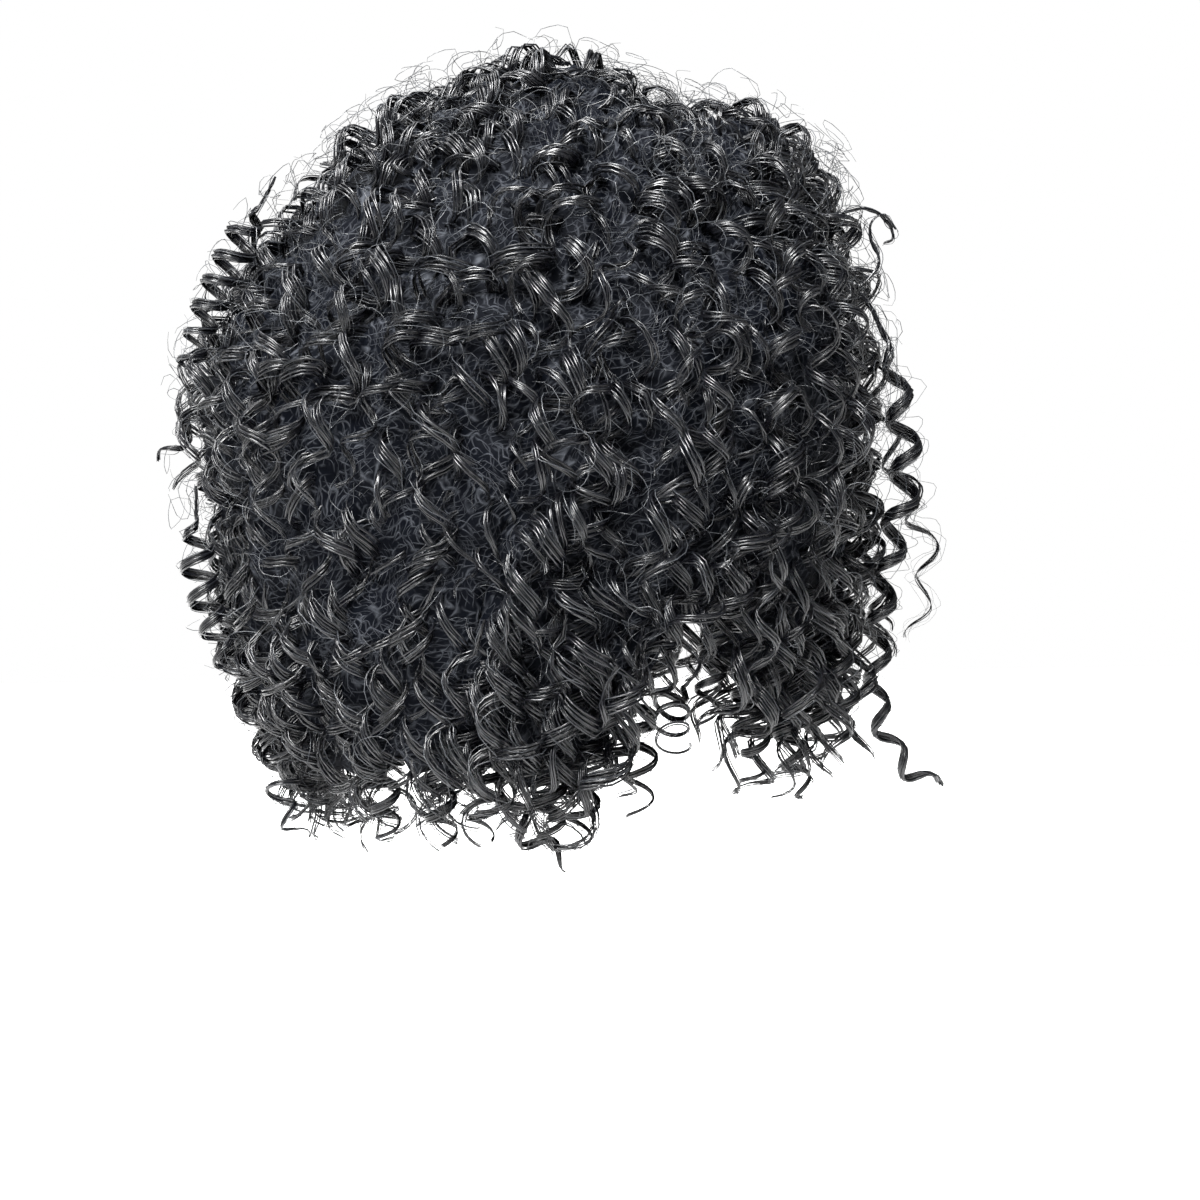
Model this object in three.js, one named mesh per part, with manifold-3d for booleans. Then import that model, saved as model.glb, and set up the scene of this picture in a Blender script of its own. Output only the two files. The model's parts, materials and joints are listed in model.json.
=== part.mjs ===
// Curly wig: a hollow cap that carries dressed sections of corkscrew curls and two loose ringlets.
// Millimetres, +Z up, the face towards -Y and the wearer's right towards -X.
// The origin is the inside of the cap where the top of the head bears on it.
import * as THREE from "three";
import { mergeVertices } from "three/addons/utils/BufferGeometryUtils.js";
import Module from "manifold-3d";

const wasm = await Module();
wasm.setup();
const { lerp, smoothstep, degToRad } = THREE.MathUtils;

// Driving dimensions
const HEAD = { halfWidth: 77, halfLength: 97, halfHeight: 95 }; // inside of the cap, 548 mm round
const CAP = { wall: 1.6, depth: 172, segments: 24, rings: 8, reach: 120 };
const SEAT_GAP = 0.4; // between the cap and the hair sewn on it
const SECTION_GAP = 0.9; // degrees left between two sections of hair
const SOCKET_GAP = 0.8; // round a loose ringlet where it leaves the hair
const NECK_MIDDLE = 12; // along Y, where the hair hangs round
const MIDDLE = new THREE.Vector3(0, 20, -120); // reaches of the hair are measured from here
const WHORL_TILT = 17; // degrees that the whorl lies forward of the middle's vertical
const BACKING_SHARE = 0.45; // of the hair's depth that the dense hair at the roots fills
const CUT_MARGIN = 6; // that the backing runs past the seat cut in it
const HANG = { cover: 20, wall: 38 }; // depths of the backing's two faces where the hair hangs
const MERGE_WITHIN = 1e-4;

// Hem of the hair, in degrees down from the whorl
const HEM = { back: 163, side: 150, front: 131 };

// Shares of the fall over which the hair turns from lying on the cap to hanging from its rim
const LEAVES_CAP = {
  start: { back: 0.74, side: 0.5, front: 0.34 },
  end: { back: 0.92, side: 0.72, front: 0.56 },
};

// Reach of the curls from the middle, by the share of the fall from the whorl to the hem
const REACH = [
  { fall: 0, back: 140, side: 140, front: 140 },
  { fall: 0.06, back: 160, side: 148, front: 149 },
  { fall: 0.12, back: 161, side: 152, front: 162 },
  { fall: 0.2, back: 153, side: 149, front: 166 },
  { fall: 0.3, back: 148, side: 142, front: 152 },
  { fall: 0.4, back: 148, side: 140, front: 141 },
  { fall: 0.52, back: 155, side: 142, front: 133 },
  { fall: 0.64, back: 163, side: 145, front: 137 },
  { fall: 0.76, back: 165, side: 153, front: 150 },
  { fall: 0.88, back: 185, side: 178, front: 182 },
  { fall: 1, back: 207, side: 212, front: 204 },
];

// Extra reach of the curtains where they stand forward beside the face, and the falls it grows over
const FRONT_CORNER = { reach: 18, from: 0.2, full: 0.5 };

// Share of the fall where the curls end, by the degrees from the back: a notch in front of each ear
const ENDS = [
  { apart: 0, fall: 1 },
  { apart: 60, fall: 0.994 },
  { apart: 80, fall: 0.985 },
  { apart: 95, fall: 0.967 },
  { apart: 107, fall: 0.948 },
  { apart: 110, fall: 0.9 },
  { apart: 113, fall: 0.81 },
  { apart: 117, fall: 0.77 },
  { apart: 121, fall: 0.79 },
  { apart: 125, fall: 0.835 },
  { apart: 129, fall: 0.87 },
  { apart: 141, fall: 0.906 },
  { apart: 150, fall: 0.886 },
  { apart: 154, fall: 0.82 },
  { apart: 159, fall: 0.8 },
  { apart: 164, fall: 0.62 },
  { apart: 180, fall: 0.6 },
];
const SHORT = { backing: 0.05, curl: 0.12 }; // that the backing ends before the curls, and the shortest curl

// Rim of the cap in the side view, from the forehead over the ear to the nape
const RIM = [
  { y: -120, z: -54 },
  { y: -84, z: -60 },
  { y: -62, z: -76 },
  { y: -40, z: -100 },
  { y: -22, z: -104 },
  { y: 2, z: -90 },
  { y: 24, z: -104 },
  { y: 48, z: -140 },
  { y: 76, z: -158 },
  { y: 120, z: -162 },
];

// Sections of hair: shares of the fall, and degrees around from the back towards the left
const SECTIONS = [
  { name: "hair_crown", top: 0, hem: 0.25, from: 22, to: 382, rings: 3, slices: 16 },
  { name: "hair_back", top: 0.25, hem: 0.6, from: -80, to: 80, rings: 3, slices: 8 },
  { name: "hair_nape", top: 0.6, hem: 1, from: -80, to: 80, rings: 3, slices: 8 },
  { name: "hair_side_right", top: 0.25, hem: 1, from: -158, to: -80, rings: 6, slices: 8 },
  { name: "hair_side_left", top: 0.25, hem: 1, from: 80, to: 158, rings: 6, slices: 8 },
  { name: "hair_fringe", top: 0.25, hem: 0.52, from: 158, to: 202, rings: 3, slices: 4 },
];

// Rows of curls in a section: shares of the fall at root and tip, number, half width and turns
const CURL_ROWS = [
  { section: "hair_crown", root: 0.035, tip: 0.165, curls: 5, half: 18, turns: 1.25 },
  { section: "hair_crown", root: 0.11, tip: 0.28, curls: 8, half: 18, turns: 1.5 },
  { section: "hair_back", root: 0.265, tip: 0.47, curls: 7, half: 21, turns: 1.5 },
  { section: "hair_back", root: 0.42, tip: 0.64, curls: 7, half: 22, turns: 1.5 },
  { section: "hair_nape", root: 0.635, tip: 0.84, curls: 7, half: 24, turns: 1.5 },
  { section: "hair_nape", root: 0.78, tip: 1, curls: 8, half: 21, turns: 1.75 },
  { section: "hair_side_right", root: 0.265, tip: 0.47, curls: 4, half: 19, turns: 1.5 },
  { section: "hair_side_right", root: 0.42, tip: 0.64, curls: 4, half: 20, turns: 1.5 },
  { section: "hair_side_right", root: 0.59, tip: 0.83, curls: 4, half: 21, turns: 1.5 },
  { section: "hair_side_right", root: 0.77, tip: 1, curls: 5, half: 19, turns: 1.75 },
  { section: "hair_side_left", root: 0.265, tip: 0.47, curls: 4, half: 19, turns: 1.5 },
  { section: "hair_side_left", root: 0.42, tip: 0.64, curls: 4, half: 20, turns: 1.5 },
  { section: "hair_side_left", root: 0.59, tip: 0.83, curls: 4, half: 21, turns: 1.5 },
  { section: "hair_side_left", root: 0.77, tip: 1, curls: 5, half: 19, turns: 1.75 },
  { section: "hair_fringe", root: 0.29, tip: 0.46, curls: 3, half: 14, turns: 1.5 },
  { section: "hair_fringe", root: 0.42, tip: 0.6, curls: 4, half: 11, turns: 1.75 },
];

// Curls: corners of the section, steps in a turn, and shares of the half width along the curl
const CURL = { sides: 4, stepsPerTurn: 4, coil: 0.36, root: 0.5, tip: 0.65, fullAt: 0.3, outAt: 0.4 };
const ROOT_DEPTH = 0.75; // of the backing's depth, where curls root
const CURL_INSET = 1.5; // degrees that a row of curls keeps from the section's edges
const GOLDEN_TURN = degToRad(137.5); // spreads the phases of neighbouring curls

// Loose ringlets in front of the right curtain: centre line from the root, coil, tube and turns
const TENDRILS = [
  {
    name: "tendril_right",
    line: [
      [-48, -86, -62],
      [-49, -104, -70],
      [-51, -113, -92],
      [-53, -119, -128],
      [-54, -119, -152],
      [-55, -114, -182],
      [-56, -115, -214],
      [-57, -116, -246],
      [-58, -127, -268],
      [-58, -138, -276],
    ],
    coil: 6,
    tube: 2.8,
    tipShare: 0.4,
    turns: 11,
  },
  {
    name: "tendril_right_thin",
    line: [
      [-34, -92, -60],
      [-34, -107, -90],
      [-34, -118, -130],
      [-35, -130, -160],
      [-35, -136, -184],
      [-36, -130, -216],
    ],
    coil: 6,
    tube: 1.4,
    tipShare: 0.6,
    turns: 6.5,
  },
];
const TENDRIL = { straightTo: 0.12, coiledFrom: 0.3, tipCoil: 0.7 }; // shares of the length and of the coil

// Turns the frame of the fall so that its pole stands at the whorl
const whorlFrame = new THREE.Matrix4().makeRotationX(degToRad(WHORL_TILT));

// Eases a value from its side figure into its back or front figure around the head
function blendAround({ back, side, front }, around) {
  const along = Math.cos(degToRad(around));
  return lerp(side, along > 0 ? back : front, along * along);
}

// Unit direction from the middle at a share of the fall and an angle around
function direction(fall, around) {
  const down = degToRad(fall * blendAround(HEM, around));
  const a = degToRad(around);
  const flat = new THREE.Vector3(Math.sin(down) * Math.sin(a), Math.sin(down) * Math.cos(a), Math.cos(down));
  return flat.applyMatrix4(whorlFrame);
}

const reachSpline = new THREE.CubicInterpolant(
  REACH.map((row) => row.fall),
  REACH.flatMap((row) => [row.back, row.side, row.front]),
  3,
);

function outerReach(fall, around) {
  const [back, side, front] = reachSpline.evaluate(fall);
  const a = degToRad(around);
  const grown = FRONT_CORNER.reach * smoothstep(fall, FRONT_CORNER.from, FRONT_CORNER.full);
  const corner = Math.cos(a) < 0 ? grown * Math.sin(2 * a) ** 2 : 0;
  return blendAround({ back, side, front }, around) + corner;
}

// Reach of the head's ellipsoid, grown by an offset, along a unit ray from the middle
function headReach(ray, offset) {
  const axes = new THREE.Vector3(HEAD.halfWidth, HEAD.halfLength, HEAD.halfHeight).addScalar(offset);
  const step = ray.clone().divide(axes);
  const start = MIDDLE.clone().add(new THREE.Vector3(0, 0, HEAD.halfHeight)).divide(axes);
  const b = step.dot(start);
  return (-b + Math.sqrt(b * b - step.lengthSq() * (start.lengthSq() - 1))) / step.lengthSq();
}

// Depth of the hair over its seat on the cap
function seatDepth(fall, around) {
  return outerReach(fall, around) - headReach(direction(fall, around), CAP.wall + SEAT_GAP);
}

// How far the hair hangs free: 0 on the cap, 1 under its rim
function hangShare(fall, around) {
  return smoothstep(fall, blendAround(LEAVES_CAP.start, around), blendAround(LEAVES_CAP.end, around));
}

// Point at a depth under the curls' outside: along the ray on the cap, and level where the hair hangs
function pointUnder(fall, around, depth) {
  const ray = direction(fall, around);
  const outside = ray.clone().multiplyScalar(outerReach(fall, around)).add(MIDDLE);
  const level = new THREE.Vector3(outside.x, outside.y - NECK_MIDDLE, 0).normalize();
  const inwards = ray.lerp(level, hangShare(fall, around)).negate();
  return outside.addScaledVector(inwards, depth);
}

const endSpline = new THREE.LinearInterpolant(
  ENDS.map(({ apart }) => apart),
  ENDS.map(({ fall }) => fall),
  1,
);

// Share of the fall where the curls end, at an angle around
function endAt(around) {
  return endSpline.evaluate(Math.abs(around > 180 ? around - 360 : around))[0];
}

// A closed mesh as a solid, its equal vertices merged and its collapsed triangles dropped
function solidOf(geometry) {
  const bare = new THREE.BufferGeometry();
  bare.setAttribute("position", geometry.getAttribute("position").clone());
  bare.setIndex(geometry.index);
  const merged = mergeVertices(bare, MERGE_WITHIN);
  const kept = [];
  for (let i = 0; i < merged.index.count; i += 3) {
    const [a, b, c] = merged.index.array.slice(i, i + 3);
    if (a !== b && b !== c && c !== a) kept.push(a, b, c);
  }
  return new wasm.Manifold(
    new wasm.Mesh({
      numProp: 3,
      vertProperties: merged.getAttribute("position").array,
      triVerts: new Uint32Array(kept),
    }),
  );
}

// A solid back as a mesh's geometry
function geometryOf(solid) {
  const mesh = solid.getMesh();
  const geometry = new THREE.BufferGeometry();
  geometry.setAttribute("position", new THREE.BufferAttribute(mesh.vertProperties, 3));
  geometry.setIndex(new THREE.BufferAttribute(mesh.triVerts, 1));
  geometry.computeVertexNormals();
  return geometry;
}

// The largest body of a solid, without the air pockets that it closes off
function mainBody(solid) {
  const bodies = solid.decompose().filter((body) => body.volume() > 0);
  return bodies.reduce((best, body) => (body.volume() > best.volume() ? body : best));
}

function geometryFrom(points, quads) {
  const geometry = new THREE.BufferGeometry().setFromPoints(points);
  geometry.setIndex(quads.flatMap(([a, b, c, d]) => [a, b, c, a, c, d]));
  return geometry;
}

// The head's form, grown all round by an offset and cut off level under the cap
function headForm(offset) {
  const bottom = Math.acos(1 - CAP.depth / HEAD.halfHeight);
  const arc = Array.from({ length: CAP.rings + 1 }, (_, i) => (bottom * i) / CAP.rings);
  const dome = arc.map((a) => new THREE.Vector2(Math.sin(a), Math.cos(a))).reverse();
  const form = new THREE.LatheGeometry([new THREE.Vector2(0, Math.cos(bottom)), ...dome], CAP.segments);
  form.rotateX(Math.PI / 2);
  form.scale(HEAD.halfWidth + offset, HEAD.halfLength + offset, HEAD.halfHeight + offset);
  form.translate(0, 0, -HEAD.halfHeight);
  return solidOf(form);
}

// The cap: a dome of even wall, cut along its rim in the side view
function capSolid() {
  const rim = new THREE.Shape([
    ...new THREE.SplineCurve(RIM.map(({ y, z }) => new THREE.Vector2(y, z))).getPoints(RIM.length + 4),
    new THREE.Vector2(CAP.reach, -2 * CAP.reach),
    new THREE.Vector2(-CAP.reach, -2 * CAP.reach),
  ]);
  const below = new THREE.ExtrudeGeometry(rim, { depth: 2 * CAP.reach, bevelEnabled: false });
  below.translate(0, 0, -CAP.reach);
  const [x, y, z] = [0, 1, 2].map((i) => new THREE.Vector3().setComponent(i, 1));
  below.applyMatrix4(new THREE.Matrix4().makeBasis(y, z, x));
  return mainBody(headForm(CAP.wall).subtract(headForm(0)).subtract(solidOf(below)));
}

// Dense hair at the roots of a section, from a share of the hair's depth to past its seat on the cap
function backing({ top, hem, from, to, rings, slices }) {
  const round = to - from === 360;
  const gap = SECTION_GAP / 2;
  const [start, end] = round ? [from, to] : [from + gap, to - gap];
  const points = [];
  const outside = { onCap: (room) => (1 - BACKING_SHARE) * room, hanging: HANG.cover };
  const inside = { onCap: (room) => room + CUT_MARGIN, hanging: HANG.wall };
  for (const { onCap, hanging } of [outside, inside])
    for (let i = 0; i <= rings; i++)
      for (let j = 0; j <= slices; j++) {
        const around = lerp(start, end, j / slices);
        const margin = gap / blendAround(HEM, around);
        const last = Math.min(hem - margin, endAt(around) - SHORT.backing);
        const fall = lerp(top && top + margin, last, i / rings);
        const depth = lerp(onCap(seatDepth(fall, around)), hanging, hangShare(fall, around));
        points.push(pointUnder(fall, around, depth));
      }
  const layer = (rings + 1) * (slices + 1);
  const at = (side, i, j) => side * layer + i * (slices + 1) + j;
  const quads = [];
  for (let i = 0; i < rings; i++)
    for (let j = 0; j < slices; j++) {
      quads.push([at(0, i, j), at(0, i, j + 1), at(0, i + 1, j + 1), at(0, i + 1, j)]);
      quads.push([at(1, i, j), at(1, i + 1, j), at(1, i + 1, j + 1), at(1, i, j + 1)]);
    }
  for (let j = 0; j < slices; j++) {
    quads.push([at(0, rings, j), at(0, rings, j + 1), at(1, rings, j + 1), at(1, rings, j)]);
    if (top > 0) quads.push([at(0, 0, j), at(1, 0, j), at(1, 0, j + 1), at(0, 0, j + 1)]);
  }
  for (let i = 0; i < rings && !round; i++) {
    quads.push([at(0, i, 0), at(0, i + 1, 0), at(1, i + 1, 0), at(1, i, 0)]);
    quads.push([at(0, i, slices), at(1, i, slices), at(1, i + 1, slices), at(0, i + 1, slices)]);
  }
  return geometryFrom(points, quads);
}

// Centre line of a corkscrew curl: it leaves the roots, rises to the surface and follows the fall
class CurlCurve extends THREE.Curve {
  constructor({ root, tip, around, half, turns, phase, hand }) {
    super();
    Object.assign(this, { root, tip, around, half, turns, phase, hand });
  }

  // Half width along the curl: slim at the root, full, then tapered to the tip
  halfWidth(t) {
    const grown = lerp(CURL.root, 1, smoothstep(t, 0, CURL.fullAt));
    return this.half * grown * lerp(1, CURL.tip, smoothstep(t, CURL.fullAt, 1));
  }

  radius(t) {
    return (1 - CURL.coil) * this.halfWidth(t);
  }

  getPoint(t, target = new THREE.Vector3()) {
    const fall = lerp(this.root, this.tip, t);
    const onCap = (1 - ROOT_DEPTH * BACKING_SHARE) * seatDepth(fall, this.around);
    const roots = lerp(onCap, ROOT_DEPTH * HANG.wall, hangShare(fall, this.around));
    const depth = lerp(roots, this.halfWidth(t), smoothstep(t, 0, CURL.outAt));
    const a = degToRad(this.around);
    const aside = new THREE.Vector3(Math.cos(a), -Math.sin(a), 0).applyMatrix4(whorlFrame);
    const turn = this.hand * 2 * Math.PI * this.turns * t + this.phase;
    const coil = CURL.coil * this.halfWidth(t);
    return target
      .copy(pointUnder(fall, this.around, depth))
      .addScaledVector(direction(fall, this.around), coil * Math.cos(turn))
      .addScaledVector(aside, coil * Math.sin(turn));
  }
}

// Centre line of a loose ringlet: nearly straight at the root, then coiled round its own line
class RingletCurve extends THREE.Curve {
  constructor({ line, coil, tube, tipShare, turns }) {
    super();
    Object.assign(this, { coil, tube, tipShare, turns });
    this.line = new THREE.CatmullRomCurve3(line.map((p) => new THREE.Vector3(...p)));
  }

  radius(t) {
    return this.tube * lerp(1, this.tipShare, t);
  }

  getPoint(t, target = new THREE.Vector3()) {
    const along = this.line.getTangentAt(t);
    const aside = new THREE.Vector3(1, 0, 0).addScaledVector(along, -along.x).normalize();
    const across = along.clone().cross(aside);
    const turn = 2 * Math.PI * this.turns * t;
    const eased = smoothstep(t, TENDRIL.straightTo, TENDRIL.coiledFrom) * lerp(1, TENDRIL.tipCoil, t);
    const coil = this.coil * eased;
    return target
      .copy(this.line.getPointAt(t))
      .addScaledVector(aside, coil * Math.sin(turn))
      .addScaledVector(across, coil * Math.cos(turn));
  }
}

// A tube swept along a curl's centre line, closed at both ends and grown all round by an offset
function sweep(curve, offset = 0) {
  const steps = Math.round(curve.turns * CURL.stepsPerTurn);
  const frames = curve.computeFrenetFrames(steps);
  const ring = Array.from({ length: CURL.sides }, (_, k) => k);
  const points = [];
  for (let i = 0; i <= steps; i++)
    for (const k of ring) {
      const turn = (2 * Math.PI * k) / CURL.sides;
      const radius = curve.radius(i / steps) + offset;
      const beyond = i === 0 ? -offset : i === steps ? offset : 0;
      points.push(
        curve
          .getPointAt(i / steps)
          .addScaledVector(frames.tangents[i], beyond)
          .addScaledVector(frames.normals[i], radius * Math.cos(turn))
          .addScaledVector(frames.binormals[i], radius * Math.sin(turn)),
      );
    }
  const quads = [[...ring].reverse(), ring.map((k) => steps * CURL.sides + k)];
  for (let i = 0; i < steps; i++)
    for (const k of ring) {
      const [a, b] = [i * CURL.sides + k, i * CURL.sides + ((k + 1) % CURL.sides)];
      quads.push([a, b, b + CURL.sides, a + CURL.sides]);
    }
  return geometryFrom(points, quads);
}

// The curls of a section, spread evenly along each of its rows
function curlsOf(section) {
  const rows = CURL_ROWS.filter((row) => row.section === section.name);
  return rows.flatMap((row, rowNumber) => {
    const [first, last] = [section.from + CURL_INSET, section.to - CURL_INSET];
    const places = Array.from({ length: row.curls }, (_, i) => lerp(first, last, (i + 0.5) / row.curls));
    const curls = places.map((around, i) => ({
      ...row,
      around,
      tip: Math.min(row.tip, endAt(around)),
      phase: GOLDEN_TURN * (i + 3 * rowNumber),
      hand: i % 2 ? 1 : -1,
    }));
    return curls.filter(({ root, tip }) => tip - root > SHORT.curl).map((curl) => new CurlCurve(curl));
  });
}

const ringlets = TENDRILS.map(({ name, ...shape }) => ({ name, curve: new RingletCurve(shape) }));

// A section of hair: its backing and curls in one body, seated on the cap and clear of given curls
function sectionSolid(section, neighbours) {
  const curls = curlsOf(section).map((curve) => solidOf(sweep(curve)));
  const joined = curls.reduce((all, curl) => all.add(curl), solidOf(backing(section)));
  const sockets = neighbours.map((curve) => solidOf(sweep(curve, SOCKET_GAP)));
  const seat = headForm(CAP.wall + SEAT_GAP);
  return mainBody(sockets.reduce((rest, socket) => rest.subtract(socket), mainBody(joined.subtract(seat))));
}

const net = new THREE.MeshStandardMaterial({ color: 0x1b1b1d, roughness: 0.85, metalness: 0 });
const hair = new THREE.MeshStandardMaterial({ color: 0x17181b, roughness: 0.42, metalness: 0 });
const group = new THREE.Group();

function addPiece(name, solid, material) {
  const mesh = new THREE.Mesh(geometryOf(solid), material);
  mesh.name = name;
  group.add(mesh);
}

addPiece("cap", capSolid(), net);
const laid = ringlets.map(({ curve }) => curve);
for (const section of SECTIONS) {
  addPiece(section.name, sectionSolid(section, laid), hair);
  laid.push(...curlsOf(section));
}
for (const { name, curve } of ringlets) addPiece(name, solidOf(sweep(curve)), hair);

export default group;
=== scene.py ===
"""Dresses the curly wig: corkscrew locks of fine fibres over dark under-hair, sewn on a net cap.

Tables are in millimetres in the part's frame: +Z up, the face towards -Y, the wearer's right
towards -X, and the origin inside the cap at its top.
"""
import json
import logging
import math
from dataclasses import dataclass
from enum import Enum
from functools import partial

import bmesh
import bpy
import numpy as np
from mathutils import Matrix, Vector

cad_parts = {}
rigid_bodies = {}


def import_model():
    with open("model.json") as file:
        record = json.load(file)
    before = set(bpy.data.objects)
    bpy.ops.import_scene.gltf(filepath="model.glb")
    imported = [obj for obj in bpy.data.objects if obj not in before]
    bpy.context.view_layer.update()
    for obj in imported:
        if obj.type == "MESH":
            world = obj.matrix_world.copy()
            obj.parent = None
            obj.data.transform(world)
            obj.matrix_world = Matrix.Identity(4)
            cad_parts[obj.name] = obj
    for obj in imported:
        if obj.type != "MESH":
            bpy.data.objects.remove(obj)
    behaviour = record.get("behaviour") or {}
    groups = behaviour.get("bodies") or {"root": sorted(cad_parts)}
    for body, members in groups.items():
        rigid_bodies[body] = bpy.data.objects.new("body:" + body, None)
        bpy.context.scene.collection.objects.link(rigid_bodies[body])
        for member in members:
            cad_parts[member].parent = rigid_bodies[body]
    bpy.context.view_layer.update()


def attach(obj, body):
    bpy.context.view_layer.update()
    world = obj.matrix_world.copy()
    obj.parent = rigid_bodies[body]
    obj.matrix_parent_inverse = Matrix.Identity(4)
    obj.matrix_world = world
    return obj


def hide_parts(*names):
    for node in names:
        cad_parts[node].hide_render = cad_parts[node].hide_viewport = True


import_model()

BODY = "root"
MM = 0.001
MERGE_MM = 0.01
SEED = 7
LOG = logging.getLogger("curly_wig")


class Slot(Enum):
    """Material slots of the record."""

    HAIR = "hair"
    CAP = "cap_net"


class Hand(Enum):
    """Way that a corkscrew turns."""

    LEFT = -1
    RIGHT = 1


def linear(code: str, alpha: float = 1.0) -> tuple[float, float, float, float]:
    """Turns an sRGB hex colour into linear RGBA.

    Args:
        code: Six hex digits, such as "101114".
        alpha: Fourth channel.

    Returns:
        The linear colour.
    """
    parts = [int(code[i : i + 2], 16) / 255 for i in (0, 2, 4)]
    red, green, blue = [p / 12.92 if p <= 0.04045 else ((p + 0.055) / 1.055) ** 2.4 for p in parts]
    return red, green, blue, alpha


def add_node(
    tree: bpy.types.NodeTree, kind: str, inputs: dict | None = None, **settings: object
) -> bpy.types.Node:
    """Adds a node with its settings, values and links.

    Args:
        tree: Tree that gets the node.
        kind: Node type.
        inputs: Input name or index to a value, or to the socket that feeds it.
        settings: Properties of the node.

    Returns:
        The new node.
    """
    node = tree.nodes.new(kind)
    for name, value in settings.items():
        setattr(node, name, value)
    for key, value in (inputs or {}).items():
        if isinstance(value, bpy.types.NodeSocket):
            tree.links.new(value, node.inputs[key])
        else:
            node.inputs[key].default_value = value
    return node


def smooth(low: float, high: float, value: np.ndarray) -> np.ndarray:
    """Eases from 0 at low to 1 at high."""
    x = np.clip((value - low) / (high - low), 0.0, 1.0)
    return x * x * (3 - 2 * x)


def unit(vectors: np.ndarray) -> np.ndarray:
    """Scales rows of vectors to length 1."""
    return vectors / np.linalg.norm(vectors, axis=-1, keepdims=True)


def mesh_object(name: str, points: np.ndarray, edges: list, faces: list) -> bpy.types.Object:
    """Makes a mesh object in the scene from points in millimetres.

    Args:
        name: Name of the object and its mesh.
        points: Array of points.
        edges: Pairs of point numbers.
        faces: Lists of point numbers.

    Returns:
        The new object, at the origin.
    """
    mesh = bpy.data.meshes.new(name)
    mesh.from_pydata((points * MM).tolist(), edges, faces)
    piece = bpy.data.objects.new(name, mesh)
    bpy.context.scene.collection.objects.link(piece)
    return piece


def joined(name: str, meshes: list[bpy.types.Mesh]) -> bpy.types.Object:
    """Joins meshes that share a material and attributes into one smooth object.

    Args:
        name: Name of the object.
        meshes: Meshes to join, which are removed.

    Returns:
        The new object.
    """
    shape = bmesh.new()
    for mesh in meshes:
        shape.from_mesh(mesh)
    whole = bpy.data.meshes.new(name)
    for face in shape.faces:
        face.smooth = True
    shape.to_mesh(whole)
    shape.free()
    whole.materials.append(meshes[0].materials[0])
    for mesh in meshes:
        bpy.data.meshes.remove(mesh)
    piece = bpy.data.objects.new(name, whole)
    bpy.context.scene.collection.objects.link(piece)
    return piece


def shell_object(name: str, outside: np.ndarray, inside: np.ndarray, wraps: bool) -> bpy.types.Object:
    """Makes a closed wall between two grids of points.

    Args:
        name: Name of the object.
        outside: Outer points, in rows from the top down and columns around.
        inside: Inner points, laid out alike.
        wraps: True where the last column meets the first again.

    Returns:
        The wall, merged and smooth.
    """
    rows, columns = outside.shape[:2]
    skip = rows * columns
    last = columns if wraps else columns - 1
    faces = []
    for row in range(rows - 1):
        for column in range(last):
            beside = (column + 1) % columns
            a, b = row * columns + column, row * columns + beside
            faces.append((a, a + columns, b + columns, b))
            faces.append((skip + a, skip + b, skip + b + columns, skip + a + columns))
    for column in range(last):
        beside = (column + 1) % columns
        a, b = (rows - 1) * columns + column, (rows - 1) * columns + beside
        faces.append((a, skip + a, skip + b, b))
        faces.append((column, beside, skip + beside, skip + column))
    if not wraps:
        for row in range(rows - 1):
            a, b = row * columns, row * columns + columns - 1
            faces.append((a, skip + a, skip + a + columns, a + columns))
            faces.append((b, b + columns, skip + b + columns, skip + b))
    points = np.concatenate([outside.reshape(-1, 3), inside.reshape(-1, 3)])
    piece = mesh_object(name, points, [], faces)
    shape = bmesh.new()
    shape.from_mesh(piece.data)
    bmesh.ops.remove_doubles(shape, verts=shape.verts, dist=MERGE_MM * MM)
    bmesh.ops.recalc_face_normals(shape, faces=shape.faces)
    for face in shape.faces:
        face.smooth = True
    shape.to_mesh(piece.data)
    shape.free()
    return piece


def new_material(name: str) -> tuple[bpy.types.Material, bpy.types.NodeTree, bpy.types.Node]:
    """Makes a material and gives it back with its tree and its shader."""
    material = bpy.data.materials.new(name)
    material.use_nodes = True
    tree = material.node_tree
    return material, tree, tree.nodes["Principled BSDF"]


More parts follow.
